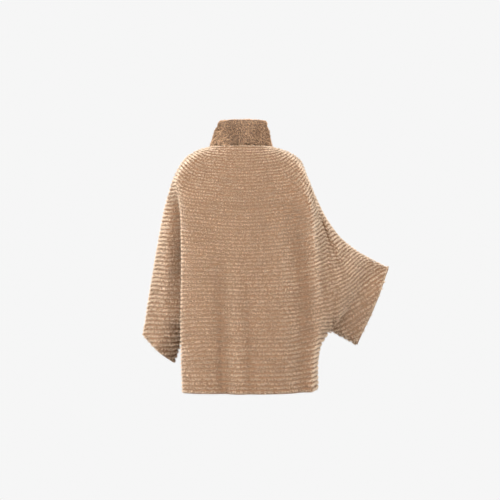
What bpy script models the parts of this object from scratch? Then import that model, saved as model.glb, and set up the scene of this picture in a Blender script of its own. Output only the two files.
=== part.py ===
"""Fur cape: a batwing pullover of knitted fur with a high roll collar, filled out as it is worn.

Metres, +Z up. The wearer's back faces -Y, and the wearer's right arm, which is held out, is at +X.
The origin is at the base of the wearer's neck, where the cape hangs on the shoulders.

The back and the front are each cut in one with half of both sleeves. A place on such a panel has
two measures. LEVEL is the length of cloth below the collar seam, in metres, read at the arm line,
where body and sleeve meet. ACROSS is 0 at the left arm line and 1 at the right one, -1 at the left
overarm seam and 2 at the right one. The tables say where the named lines lie at each level.
"""

import bmesh
import bpy
import numpy as np

# ---------------------------------------------------------------- driving sizes
WALL = 0.008              # knitted fur, from its backing to the tips of the pile
SEAM_GAP = 0.0003         # between two pieces at a seam
HEM = 0.75                # level of the hem
UNDERARM = 0.567          # level where the side seam and the underarm seam meet
SHOULDER = 0.10           # level from which the sleeves are cut slanting
ROUND_FROM = {"left": 0.38, "right": 0.48}    # level where an opening to a sleeve starts to close
NECK_HEIGHT = 0.002       # the collar seam, above the origin
DROP = 0.973              # height lost down the middle of the body for each unit of level
QUARTER = 0.28            # how far the quarter lines lie from the centre's depth to the ridge's
FRONT_RIDGE_WIDTH = 0.97  # the front's side ridges against the back's, in width
FRONT_RIDGE_DEPTH = 0.68  # and in depth, against the centre front
TURN = 0.8                # how strongly the cloth turns in at the underarm

FUR_TAN = (0.43, 0.29, 0.19, 1.0)
FUR_BROWN = (0.32, 0.20, 0.125, 1.0)

# ---------------------------------------------------------------- tables
BODY_COLUMNS = ("level", "centre_x", "back", "front")
BODY = np.array((
    (0.00, 0.000, -0.085, 0.075),
    (0.03, 0.000, -0.100, 0.088),
    (0.06, 0.000, -0.110, 0.097),
    (0.10, 0.000, -0.122, 0.108),
    (0.15, 0.002, -0.134, 0.122),
    (0.20, 0.004, -0.142, 0.133),
    (0.32, 0.010, -0.150, 0.146),
    (0.45, 0.016, -0.152, 0.150),
    (0.567, 0.021, -0.152, 0.150),
    (0.75, 0.024, -0.150, 0.148),
))

SIDE_COLUMNS = ("level", "ridge_x", "ridge_y", "ridge_z", "arm_x", "arm_y", "arm_z", "slot")
SIDES = {
    "left": np.array((
        (0.00, -0.072, -0.054, 0.002, -0.085, 0.000, 0.002, 0.032),
        (0.03, -0.093, -0.067, -0.018, -0.110, 0.000, -0.012, 0.045),
        (0.06, -0.113, -0.075, -0.042, -0.135, 0.000, -0.028, 0.056),
        (0.10, -0.140, -0.080, -0.076, -0.163, 0.000, -0.057, 0.066),
        (0.15, -0.169, -0.083, -0.118, -0.190, 0.003, -0.101, 0.072),
        (0.20, -0.179, -0.092, -0.168, -0.188, 0.008, -0.152, 0.068),
        (0.25, -0.177, -0.101, -0.220, -0.174, 0.012, -0.208, 0.063),
        (0.32, -0.176, -0.107, -0.292, -0.164, 0.015, -0.282, 0.066),
        (0.45, -0.176, -0.110, -0.430, -0.161, 0.020, -0.425, 0.070),
        (0.567, -0.177, -0.110, -0.549, -0.164, 0.020, -0.550, 0.066),
        (0.65, -0.175, -0.108, -0.631, -0.168, 0.020, -0.632, 0.060),
        (0.75, -0.171, -0.103, -0.728, -0.167, 0.020, -0.728, 0.055),
    )),
    "right": np.array((
        (0.00, 0.072, -0.054, 0.002, 0.085, 0.000, 0.002, 0.032),
        (0.03, 0.094, -0.067, -0.018, 0.111, 0.000, -0.012, 0.045),
        (0.06, 0.116, -0.076, -0.042, 0.138, 0.000, -0.028, 0.056),
        (0.10, 0.146, -0.084, -0.076, 0.171, 0.000, -0.056, 0.066),
        (0.15, 0.186, -0.088, -0.120, 0.198, 0.000, -0.101, 0.072),
        (0.20, 0.206, -0.098, -0.170, 0.219, 0.005, -0.150, 0.064),
        (0.25, 0.213, -0.108, -0.222, 0.234, 0.010, -0.202, 0.054),
        (0.32, 0.218, -0.113, -0.294, 0.252, 0.013, -0.275, 0.068),
        (0.40, 0.223, -0.114, -0.376, 0.264, 0.010, -0.362, 0.085),
        (0.48, 0.226, -0.113, -0.459, 0.270, 0.008, -0.448, 0.093),
        (0.567, 0.225, -0.110, -0.549, 0.268, 0.010, -0.5535, 0.092),
        (0.61, 0.217, -0.108, -0.592, 0.244, 0.014, -0.594, 0.088),
        (0.65, 0.212, -0.106, -0.631, 0.236, 0.018, -0.632, 0.085),
        (0.75, 0.207, -0.100, -0.728, 0.234, 0.020, -0.728, 0.085),
    )),
}

OVERARM_COLUMNS = ("level", "x", "y", "z")
OVERARMS = {
    "left": np.array((
        (0.00, -0.093, 0.000, 0.002),
        (0.03, -0.122, 0.000, -0.005),
        (0.06, -0.150, 0.000, -0.018),
        (0.10, -0.177, 0.000, -0.042),
        (0.15, -0.207, 0.003, -0.098),
        (0.20, -0.226, 0.010, -0.158),
        (0.32, -0.254, 0.025, -0.296),
        (0.45, -0.280, 0.040, -0.444),
        (0.555, -0.301, 0.050, -0.567),
    )),
    "right": np.array((
        (0.00, 0.093, 0.000, 0.002),
        (0.03, 0.122, 0.000, -0.005),
        (0.06, 0.151, 0.000, -0.017),
        (0.10, 0.179, 0.000, -0.038),
        (0.15, 0.201, 0.003, -0.089),
        (0.20, 0.226, 0.010, -0.148),
        (0.26, 0.257, 0.026, -0.2105),
        (0.32, 0.2985, 0.045, -0.267),
        (0.385, 0.347, 0.066, -0.307),
        (0.45, 0.404, 0.085, -0.3385),
        (0.493, 0.454, 0.100, -0.361),
    )),
}

# Where each sleeve ends: the level of the cuff's upper and lower corner, and the place of the
# lower one. The sleeve's middle stands off the straight line between the arm line and the overarm
# by bulge_back and bulge_front, and hangs below it by sag.
CUFFS = {
    "left": {"upper": 0.555, "lower": 0.650, "corner": (-0.200, 0.045, -0.652),
             "bulge_back": 0.055, "bulge_front": 0.050, "sag": 0.004},
    "right": {"upper": 0.493, "lower": 0.611, "corner": (0.350, 0.050, -0.600),
              "bulge_back": 0.045, "bulge_front": 0.045, "sag": 0.012},
}

# Soft folds. Each runs from one place on a panel to another, fading in on its way, and fading out
# unless it reaches the hem. A depth below 0 raises the cloth.
FOLD_COLUMNS = ("panel", "from_across", "from_level", "to_across", "to_level", "depth", "half_width")
FOLDS = (
    ("back", 0.725, 0.12, 0.785, 0.75, 0.024, 0.050),
    ("back", 0.368, 0.30, 0.376, 0.75, 0.014, 0.032),
    ("back", 0.500, 0.38, 0.510, 0.75, 0.009, 0.022),
    ("back", 0.440, 0.20, 0.440, 0.75, -0.004, 0.030),
    ("back", 0.155, 0.18, 0.120, 0.75, -0.005, 0.030),
    ("back", 0.835, 0.02, 0.825, 0.58, -0.010, 0.030),
    ("back", 0.275, 0.20, 0.260, 0.75, -0.004, 0.035),
    ("back", 1.220, 0.24, 1.640, 0.50, 0.011, 0.150),
    ("back", 1.350, 0.30, 1.450, 0.60, 0.006, 0.120),
    ("back", -0.450, 0.20, -0.350, 0.60, 0.006, 0.120),
    ("front", 0.300, 0.22, 0.260, 0.75, 0.014, 0.040),
    ("front", 0.480, 0.32, 0.500, 0.75, 0.009, 0.030),
    ("front", 0.700, 0.16, 0.760, 0.75, 0.016, 0.040),
    ("front", 1.400, 0.30, 1.500, 0.60, 0.010, 0.120),
)

# Collar: half-width of its outside at each height above the collar seam, and how far it leans to +X.
COLLAR_COLUMNS = ("height", "half_width", "lean")
COLLAR = np.array((
    (0.000, 0.0940, 0.000),
    (0.010, 0.0920, 0.000),
    (0.022, 0.0885, 0.001),
    (0.036, 0.0855, 0.002),
    (0.050, 0.0815, 0.003),
    (0.060, 0.0780, 0.004),
))
COLLAR_TOP = 0.0775        # height of the roll's top above the collar seam
COLLAR_WALL = 0.024        # two layers
COLLAR_DEPTH = 0.86        # half-depth against half-width
COLLAR_CENTRE_Y = -0.005
COLLAR_SIDES = 44
COLLAR_ROLL_STEPS = 7

# ---------------------------------------------------------------- mesh density
TOP_LEVELS = (
    0.0, 0.015, 0.03, 0.045, 0.06, 0.08, 0.10, 0.125, 0.15, 0.175, 0.20, 0.23, 0.26, 0.295, 0.33,
    0.365, 0.40, 0.43, 0.46, 0.49, 0.515, 0.535, 0.549, 0.559, 0.567,
)
BODY_LEVELS = (0.567, 0.58, 0.595, 0.615, 0.645, 0.68, 0.715, 0.75)
UNDERARM_ROWS = 4
BODY_STEPS = 36
SLEEVE_STEPS = 8


def read(table, columns, name, at):
    """A smooth curve through a table's values of one name, read at the levels `at` (Catmull-Rom)."""
    known = table[:, 0]
    values = table[:, columns.index(name)]
    steps = np.diff(known)
    slopes = np.diff(values) / steps
    tangents = np.empty(len(known))
    tangents[0] = slopes[0]
    tangents[-1] = slopes[-1]
    tangents[1:-1] = (slopes[:-1] * steps[1:] + slopes[1:] * steps[:-1]) / (steps[:-1] + steps[1:])
    i = np.clip(np.searchsorted(known, at) - 1, 0, len(steps) - 1)
    t = (at - known[i]) / steps[i]
    return hermite(values[i], values[i + 1], tangents[i] * steps[i], tangents[i + 1] * steps[i], t)


def hermite(start, end, leaving, arriving, t):
    rise = t * t * (3 - 2 * t)
    return start + (end - start) * rise + leaving * (t * (1 - t) ** 2) - arriving * (t * t * (1 - t))


def ease(t):
    t = np.clip(t, 0, 1)
    return t * t * (3 - 2 * t)


def unit(vectors):
    return vectors / np.maximum(np.linalg.norm(vectors, axis=-1, keepdims=True), 1e-9)


def through(stations, start, end, t):
    """A smooth curve through stations of shape (places, stations, 3), evenly spaced in t from 0 to 1.

    Start and end are each a pair: the point that takes the station's place, and the direction there.
    """
    steps = np.linalg.norm(np.diff(stations, axis=1), axis=2)[:, :, None]
    slopes = np.diff(stations, axis=1) / steps
    before, after = steps[:, :-1], steps[:, 1:]
    directions = np.empty_like(stations)
    directions[:, 1:-1] = (slopes[:, :-1] * after + slopes[:, 1:] * before) / (before + after)
    points = stations.copy()
    points[:, 0], directions[:, 0] = start
    points[:, -1], directions[:, -1] = end
    place = np.clip(t, 0, 1) * steps.shape[1]
    i = np.minimum(place.astype(int), steps.shape[1] - 1)
    n = np.arange(len(i))
    length = steps[n, i]
    leaving = directions[n, i] * length
    arriving = directions[n, i + 1] * length
    return hermite(points[n, i], points[n, i + 1], leaving, arriving, (place - i)[:, None])


def lines(side, level):
    """The back's ridge line, the middle of the arm lines, how far each lies from it, and the rest of
    that distance once the opening closes towards the underarm."""
    values = {name: read(SIDES[side], SIDE_COLUMNS, name, level) for name in SIDE_COLUMNS[1:]}
    closing = np.clip((level - ROUND_FROM[side]) / (UNDERARM - ROUND_FROM[side]), 0, 1)
    ridge = np.stack([values["ridge_x"], values["ridge_y"], values["ridge_z"]], axis=1)
    arm = np.stack([values["arm_x"], values["arm_y"], values["arm_z"]], axis=1)
    slot = np.zeros_like(arm)
    slot[:, 1] = values["slot"]
    return ridge, arm, slot, slot * np.sqrt(1 - closing**2)[:, None]


def body_stations(panel, level):
    """Seven points across the body: arm line, ridge, quarter, centre, quarter, ridge, arm line."""
    height = NECK_HEIGHT - DROP * level
    depth = read(BODY, BODY_COLUMNS, panel, level)
    centre = np.stack([read(BODY, BODY_COLUMNS, "centre_x", level), depth, height], axis=1)
    sign = -1 if panel == "back" else 1
    stations = np.empty((len(level), 7, 3))
    stations[:, 3] = centre
    for side, end, step in (("left", 0, 1), ("right", 6, -1)):
        ridge, arm, slot = lines(side, level)[:3]
        if panel == "front":
            ridge = np.stack([ridge[:, 0] * FRONT_RIDGE_WIDTH, depth * FRONT_RIDGE_DEPTH, ridge[:, 2]], axis=1)
        quarter = centre + (ridge - centre) * QUARTER
        quarter[:, 0] = (centre[:, 0] + ridge[:, 0]) / 2
        stations[:, end] = arm + sign * slot
        stations[:, end + step] = ridge
        stations[:, end + 2 * step] = quarter
    return stations


def overarm_level(side, level):
    """The level on the overarm of the place that faces `level` on the arm line."""
    cuff = CUFFS[side]
    share = (level - SHOULDER) / (cuff["lower"] - SHOULDER)
    return np.where(level > SHOULDER, SHOULDER + share * (cuff["upper"] - SHOULDER), level)


def sleeve_stations(side, level):
    """Five points round a sleeve: back arm line, middle of the back, overarm, and the same in front.

    With them comes the line midway between the arm lines, which goes on as the underarm seam.
    """
    cuff = CUFFS[side]
    arm, slot = lines(side, np.minimum(level, UNDERARM))[1:3]
    below = np.clip((level - UNDERARM) / (cuff["lower"] - UNDERARM), 0, 1)[:, None]
    arm = arm + (np.array(cuff["corner"]) - arm) * below
    slot = slot * (1 - below)
    at_over = overarm_level(side, level)
    over = np.stack([read(OVERARMS[side], OVERARM_COLUMNS, name, at_over) for name in "xyz"], axis=1)
    grown = ease((level - 0.15) / 0.25)
    left_of_slot = 1 - ease((level - ROUND_FROM[side]) / (cuff["lower"] - ROUND_FROM[side]))
    stations = np.empty((len(level), 5, 3))
    stations[:, 0] = arm - slot
    stations[:, 4] = arm + slot
    stations[:, 2] = over
    for panel, beside, sign in (("back", 1, -1), ("front", 3, 1)):
        stations[:, beside] = (arm + sign * slot * left_of_slot[:, None]) * 0.46 + over * 0.54
        stations[:, beside, 1] += sign * cuff["bulge_" + panel] * grown
        stations[:, beside, 2] -= cuff["sag"] * grown
    return stations, arm


def arm_tangents(side, panel, body, sleeve, level):
    """How the cloth crosses the arm line: straight on, and at the underarm each half turns inwards."""
    ridge = body[:, 1] if side == "left" else body[:, 5]
    beside = sleeve[:, 1] if panel == "back" else sleeve[:, 3]
    outwards = unit(beside - ridge)
    inwards = np.array([0.0, TURN if panel == "back" else -TURN, 0.0])
    turned = ease((level - ROUND_FROM[side]) / (UNDERARM - ROUND_FROM[side]))[:, None]
    return outwards * (1 - turned) + inwards * turned, outwards * (1 - turned) - inwards * turned


def fold_depth(panel, across, level):
    """How far the folds push the cloth in at each place."""
    pushed = np.zeros(len(level))
    for name, from_across, from_level, to_across, to_level, depth, half_width in FOLDS:
        if name != panel:
            continue
        along = (level - from_level) / (to_level - from_level)
        middle = from_across + (to_across - from_across) * along
        grown = ease(along / 0.4)
        if to_level < HEM:
            grown = grown * ease((1 - along) / 0.3)
        pushed += depth * grown * np.exp(-(((across - middle) / half_width) ** 2))
    from_edge = np.minimum(np.abs(across), np.abs(across - 1))
    from_edge = np.minimum(from_edge, np.minimum(across + 1, 2 - across))
    return pushed * ease(from_edge / 0.1)


def form(panel, part, across, level):
    """The outside of a panel at places given by two arrays, as points of shape (places, 3)."""
    across = np.asarray(across, float)
    level = np.asarray(level, float)
    body = body_stations(panel, level)
    sign = -1 if panel == "back" else 1
    ends = []
    for side in ("left", "right"):
        sleeve, underarm = sleeve_stations(side, level)
        if panel == "front":
            sleeve = sleeve[:, ::-1]
        closed = lines(side, np.minimum(level, UNDERARM))[3]
        arm = sign * closed + (underarm if part == side else lines(side, level)[1])
        to_body, to_sleeve = arm_tangents(side, panel, body, sleeve, level)
        if part == side:
            out = -across if side == "left" else across - 1
            points = through(sleeve, (arm, to_sleeve), (sleeve[:, -1], 0.0), out / 2)
        ends.append((arm, to_body))
    if part == "body":
        left, right = ends
        points = through(body, (left[0], -left[1]), right, across)
    points[:, 1] -= sign * fold_depth(panel, across, level)
    return points


# ---------------------------------------------------------------- panels
def place_name(panel, part, across, level):
    """The name of a place on a panel. Places that meet at a seam have one name on both panels."""
    if across in (-1, 2):
        return "overarm", across, level
    if across in (0, 1) and level >= UNDERARM:
        seam = "side" if part == "body" or level == UNDERARM else "underarm"
        return seam, across, level
    return panel, across, level


class Skin:
    """A panel's outside as one mesh of quads, wound so that its faces point out."""

    def __init__(self, panel):
        self.panel = panel
        self.names = {}
        self.points = []
        self.cuff = []
        self.faces = []

    def add(self, part, across, levels):
        columns, rows = np.meshgrid(across, levels)
        points = form(self.panel, part, columns.ravel(), rows.ravel())
        number = []
        for point, column, row in zip(points, columns.ravel(), rows.ravel()):
            name = place_name(self.panel, part, round(column, 6), row)
            if name not in self.names:
                self.names[name] = len(self.points)
                self.points.append(point)
                self.cuff.append(part != "body" and row == CUFFS[part]["lower"])
            number.append(self.names[name])
        number = np.array(number).reshape(columns.shape)
        for i in range(len(levels) - 1):
            for j in range(len(across) - 1):
                ring = [number[i, j], number[i + 1, j], number[i + 1, j + 1], number[i, j + 1]]
                self.faces.append(ring if self.panel == "back" else ring[::-1])

    def add_normals(self, shared):
        names = {number: name for name, number in self.names.items()}
        for ring in self.faces:
            corners = [self.points[n] for n in ring]
            normal = unit(np.cross(corners[2] - corners[0], corners[3] - corners[1]))
            for n in ring:
                shared[names[n]] = shared.get(names[n], 0) + normal

    def border(self):
        """Edges that only one face uses, in its direction."""
        used = set()
        for ring in self.faces:
            used.update(zip(ring, ring[1:] + ring[:1]))
        return [(a, b) for a, b in sorted(used) if (b, a) not in used]


def panel_skin(panel):
    skin = Skin(panel)
    body = np.linspace(0, 1, BODY_STEPS + 1)
    skin.add("body", body, TOP_LEVELS)
    skin.add("body", body, BODY_LEVELS)
    for side, first in (("left", -1), ("right", 1)):
        across = np.linspace(first, first + 1, SLEEVE_STEPS + 1)
        skin.add(side, across, TOP_LEVELS)
        skin.add(side, across, np.linspace(UNDERARM, CUFFS[side]["lower"], UNDERARM_ROWS + 1))
    return skin


def wall(skin, shared):
    """Gives a skin its thickness, with level edges at neck and hem, and draws it back at its seams."""
    outer = np.array(skin.points)
    levels = [name[2] for name in skin.names]
    normals = np.array([shared[name] for name in skin.names])
    hem_height = NECK_HEIGHT - DROP * HEM
    at_neck = np.abs(outer[:, 2] - NECK_HEIGHT) < 1e-5
    at_hem = outer[:, 2] < hem_height + 0.005
    normals[at_neck | at_hem, 2] = 0
    normals /= np.linalg.norm(normals, axis=1)[:, None]
    border = skin.border()
    drawn = np.zeros_like(outer)
    for a, b in border:
        if any(edge[a] and edge[b] for edge in (at_neck, at_hem, skin.cuff)):
            continue
        inwards = np.cross(normals[a] + normals[b], outer[b] - outer[a])
        inwards /= np.linalg.norm(inwards)
        drawn[a] += inwards
        drawn[b] += inwards
    lengths = np.linalg.norm(drawn, axis=1)
    moved = lengths > 1e-9
    drawn[moved] *= (SEAM_GAP / 2 / lengths[moved])[:, None]
    drawn[at_neck | at_hem, 2] = 0
    outer = outer + drawn
    inner = outer - normals * WALL
    mesh = bmesh.new()
    out = [mesh.verts.new(p) for p in outer]
    ins = [mesh.verts.new(p) for p in inner]
    for ring in skin.faces:
        mesh.faces.new([out[n] for n in ring])
        mesh.faces.new([ins[n] for n in reversed(ring)])
    for a, b in border:
        if levels[a] < levels[b]:
            mesh.faces.new([out[b], out[a], ins[b]])
            mesh.faces.new([out[a], ins[a], ins[b]])
        else:
            mesh.faces.new([out[b], out[a], ins[a]])
            mesh.faces.new([out[b], ins[a], ins[b]])
    return mesh


def collar_mesh():
    """A roll collar: one fur tube folded over itself, so its wall is two layers with a round top."""
    heights = np.linspace(0, COLLAR[-1, 0], 6)
    widths = read(COLLAR, COLLAR_COLUMNS, "half_width", heights)
    leans = read(COLLAR, COLLAR_COLUMNS, "lean", heights)
    outside = list(zip(widths, heights, leans))
    inside = [(width - COLLAR_WALL, height, lean) for width, height, lean in reversed(outside)]
    radius = COLLAR_WALL / 2
    top_width, top_height, top_lean = outside[-1]
    roll = []
    for step in range(1, COLLAR_ROLL_STEPS):
        turn = np.pi * step / COLLAR_ROLL_STEPS
        rise = (COLLAR_TOP - top_height) * np.sin(turn)
        roll.append((top_width - radius + radius * np.cos(turn), top_height + rise, top_lean))
    profile = outside + roll + inside
    mesh = bmesh.new()
    rings = []
    for turn in np.arange(COLLAR_SIDES) / COLLAR_SIDES * 2 * np.pi:
        rings.append([mesh.verts.new((
            width * np.sin(turn) + lean,
            COLLAR_CENTRE_Y - width * COLLAR_DEPTH * np.cos(turn),
            NECK_HEIGHT + SEAM_GAP + height,
        )) for width, height, lean in profile])
    for ring, after in zip(rings, rings[1:] + rings[:1]):
        for i in range(len(profile)):
            j = (i + 1) % len(profile)
            mesh.faces.new([ring[i], after[i], after[j], ring[j]])
    return mesh


def material(name, colour):
    made = bpy.data.materials.new(name)
    made.use_nodes = True
    shader = made.node_tree.nodes["Principled BSDF"]
    shader.inputs["Base Color"].default_value = colour
    shader.inputs["Roughness"].default_value = 0.9
    made.diffuse_color = colour
    return made


def place(name, mesh, finish, parent):
    data = bpy.data.meshes.new(name)
    mesh.to_mesh(data)
    mesh.free()
    data.materials.append(finish)
    data.shade_smooth()
    data.set_sharp_from_angle(angle=0.9)
    made = bpy.data.objects.new(name, data)
    made.parent = parent
    bpy.context.scene.collection.objects.link(made)


def main():
    for old in list(bpy.data.objects):
        bpy.data.objects.remove(old)
    root = bpy.data.objects.new("cape", None)
    bpy.context.scene.collection.objects.link(root)
    tan = material("knitted_fur", FUR_TAN)
    brown = material("collar_fur", FUR_BROWN)
    skins = {panel: panel_skin(panel) for panel in ("back", "front")}
    shared = {}
    for skin in skins.values():
        skin.add_normals(shared)
    for across in (0, 1):
        shared["side", across, UNDERARM] = np.array([0.0, 0.0, -1.0])
    for panel, skin in skins.items():
        place(panel, wall(skin, shared), tan, root)
    place("collar", collar_mesh(), brown, root)


main()
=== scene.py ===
# %% [markdown]
# # A knitted-fur cape
# This lesson dresses the plain solids of a cape. The cape is knitted from thin strips of fur: every
# row of knitting is a cord of soft tufts, and the rows run on from the body into both sleeves.
# Everything is in metres, with +Z up and the wearer's back towards -Y.

# %% Load the frame
import math

import bmesh
import bpy
import numpy as np
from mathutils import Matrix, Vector


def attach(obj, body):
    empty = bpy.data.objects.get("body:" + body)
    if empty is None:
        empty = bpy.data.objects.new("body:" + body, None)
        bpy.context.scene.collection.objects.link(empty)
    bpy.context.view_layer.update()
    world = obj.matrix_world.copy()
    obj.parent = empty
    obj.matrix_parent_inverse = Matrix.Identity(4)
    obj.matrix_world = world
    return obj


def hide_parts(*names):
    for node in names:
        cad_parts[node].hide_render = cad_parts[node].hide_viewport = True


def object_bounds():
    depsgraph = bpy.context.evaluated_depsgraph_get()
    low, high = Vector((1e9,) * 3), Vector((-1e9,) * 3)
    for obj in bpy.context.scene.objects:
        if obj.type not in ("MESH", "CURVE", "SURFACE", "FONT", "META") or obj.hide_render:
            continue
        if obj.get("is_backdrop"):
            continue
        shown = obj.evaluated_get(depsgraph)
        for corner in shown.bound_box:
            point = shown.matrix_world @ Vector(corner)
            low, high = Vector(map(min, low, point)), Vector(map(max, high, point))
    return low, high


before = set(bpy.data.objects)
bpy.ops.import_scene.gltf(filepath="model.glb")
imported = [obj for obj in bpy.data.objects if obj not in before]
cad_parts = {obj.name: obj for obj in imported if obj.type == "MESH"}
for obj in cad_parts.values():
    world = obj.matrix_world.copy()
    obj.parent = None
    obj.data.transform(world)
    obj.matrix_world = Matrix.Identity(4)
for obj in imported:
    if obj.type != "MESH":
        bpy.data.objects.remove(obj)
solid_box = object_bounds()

print("nodes:", sorted(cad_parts))
print("box:", [[round(v, 3) for v in corner] for corner in solid_box])

# %% [markdown]
# ## The studio
# The photo is a level view from behind with a long lens, so the camera stands 4 m away and looks
# along +Y. Its picture is 0.75 m across on each side of the middle. The floor and the world have one
# pale grey, which gives the plain ground of a catalogue photo and soft light from all round.

# %% Camera
LENS = 96
SENSOR = 36
EYE = (0.027, -4.0, -0.309)


def show(name, data):
    """A new object with this data, linked to the scene."""
    made = bpy.data.objects.new(name, data)
    bpy.context.scene.collection.objects.link(made)
    return made


camera_data = bpy.data.cameras.new("camera")
camera_data.lens = LENS
camera_data.sensor_width = SENSOR
camera = show("camera", camera_data)
camera.location = EYE
camera.rotation_euler = (math.radians(90), 0, 0)
bpy.context.scene.camera = camera
print("the picture is", round(-EYE[1] * SENSOR / LENS, 3), "m wide at the origin")

# %% Floor and world
PALE = (0.921, 0.921, 0.921, 1)
FLOOR_HEIGHT = -1.42  # where the wearer stands
FLOOR_SIZE = 6.0
AMBIENT = 0.73  # light from all round, against the grey that shows


def add_mesh(name, shape, finish, smooth=True):
    """Turns a finished bmesh into an object at the origin, with its material."""
    data = bpy.data.meshes.new(name)
    shape.to_mesh(data)
    shape.free()
    data.materials.append(finish)
    if smooth:
        data.shade_smooth()
    return show(name, data)


def node(tree, kind, **values):
    """A shader node with its sockets set by name, spaces written as underscores."""
    made = tree.nodes.new("ShaderNode" + kind)
    for name, value in values.items():
        socket = name.replace("_", " ")
        if socket in made.inputs:
            made.inputs[socket].default_value = value
        else:
            setattr(made, name, value)
    return made


def link(tree, *pairs):
    """Links nodes: each pair is a node and its output, then a node and its input."""
    for source, output, target, name in pairs:
        tree.links.new(source.outputs[output], target.inputs[name])


def material(name):
    """A new material, its node tree and its shader."""
    made = bpy.data.materials.new(name)
    made.use_nodes = True
    return made, made.node_tree, made.node_tree.nodes["Principled BSDF"]


def pale_glow(tree, glow_kind, end_kind):
    """Fills a node tree with one pale glow, which lights the scene less than it shows."""
    tree.nodes.clear()
    glow = node(tree, glow_kind, Color=PALE)
    ray = node(tree, "LightPath")
    strength = node(tree, "MapRange", To_Min=AMBIENT, To_Max=1.0)
    end = node(tree, end_kind)
    link(
        tree,
        (ray, "Is Camera Ray", strength, "Value"),
        (strength, "Result", glow, "Strength"),
        (glow, 0, end, "Surface"),
    )


pale_floor, floor_tree, _ = material("pale_floor")
pale_glow(floor_tree, "Emission", "OutputMaterial")
floor_shape = bmesh.new()
bmesh.ops.create_grid(floor_shape, x_segments=1, y_segments=1, size=FLOOR_SIZE)
bmesh.ops.translate(floor_shape, verts=floor_shape.verts, vec=(0, 0, FLOOR_HEIGHT))
floor = add_mesh("floor", floor_shape, pale_floor, smooth=False)
floor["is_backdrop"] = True

world = bpy.data.worlds.new("studio")
world.use_nodes = True
pale_glow(world.node_tree, "Background", "OutputWorld")
bpy.context.scene.world = world
bpy.context.scene.view_settings.view_transform = "Standard"
print("floor at", FLOOR_HEIGHT)

# %% Soft boxes
SOFT_BOXES = (
    # name, place, width, height, watts
    ("key", (-1.7, -3.5, 0.9), 1.8, 1.8, 176),
    ("fill", (1.8, -3.6, 0.4), 2.0, 2.4, 104),
    ("top", (0.0, -0.4, 2.4), 2.4, 1.4, 12),
    ("left_edge", (-2.8, -0.9, -1.0), 1.0, 2.2, 62),
    ("right_edge", (2.8, -0.9, 0.2), 1.0, 2.2, 30),
    ("behind", (0.3, 3.8, 0.6), 2.2, 2.2, 50),
)
AIM = np.array((0.03, 0.0, -0.33))


def soft_box(name, place, width, height, watts):
    """A rectangular area light that looks at the middle of the cape."""
    light = bpy.data.lights.new(name, "AREA")
    light.shape = "RECTANGLE"
    light.size = width
    light.size_y = height
    light.energy = watts
    box = show(name, light)
    box.location = place
    box.rotation_euler = Vector(AIM - np.array(place)).to_track_quat("-Z", "Y").to_euler()


for settings in SOFT_BOXES:
    soft_box(*settings)
print("soft boxes:", len(SOFT_BOXES))

# %% [markdown]
# ## The shape of the cloth
# The back and the front are each knitted in one with half of both sleeves. A place on such a panel
# has two measures. LEVEL is the length of cloth below the collar seam, read at the arm line, where
# body and sleeve meet. ACROSS is 0 at the left arm line and 1 at the right one, -1 at the left
# overarm seam and 2 at the right one. The tables are the solids' own, so that the fur lies exactly
# where the solids are, but the scene can read the shape as finely as it likes. Those of the lines
# are written in millimetres.

# %% Sizes of the cloth
HEM = 0.75  # level of the hem
UNDERARM = 0.567  # level where the side seam and the underarm seam meet
SHOULDER = 0.10  # level from which the sleeves are cut slanting
ROUND_FROM = {"left": 0.38, "right": 0.48}  # level where an opening to a sleeve starts to close
NECK_HEIGHT = 0.002  # the collar seam, above the origin
DROP = 0.973  # height lost down the middle of the body for each unit of level
QUARTER = 0.28  # how far the quarter lines lie from the centre's depth to the ridge's
FRONT_RIDGE_WIDTH = 0.97  # the front's side ridges against the back's, in width
FRONT_RIDGE_DEPTH = 0.68  # and in depth, against the centre front
TURN = 0.8  # how strongly the cloth turns in at the underarm
BESIDE = 0.46  # the arm line's share in the line midway between it and the overarm
BULGE_FROM = 0.15  # level where the sleeves begin to bulge and sag,
BULGE_RUN = 0.25  # and how much farther down they do so in full
FOLD_START = 0.4  # share of a fold's length in which it grows
FOLD_END = 0.3  # and in which it runs out, unless it reaches the hem
FOLD_EDGE = 0.1  # how far from seams and arm lines, across, folds run out

BODY_COLUMNS = ("level", "centre_x", "back", "front")
BODY = np.array((
    (0, 0, -85, 75),
    (30, 0, -100, 88),
    (60, 0, -110, 97),
    (100, 0, -122, 108),
    (150, 2, -134, 122),
    (200, 4, -142, 133),
    (320, 10, -150, 146),
    (450, 16, -152, 150),
    (567, 21, -152, 150),
    (750, 24, -150, 148),
)) / 1000
print("the cape is", HEM, "m long along the cloth")

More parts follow.
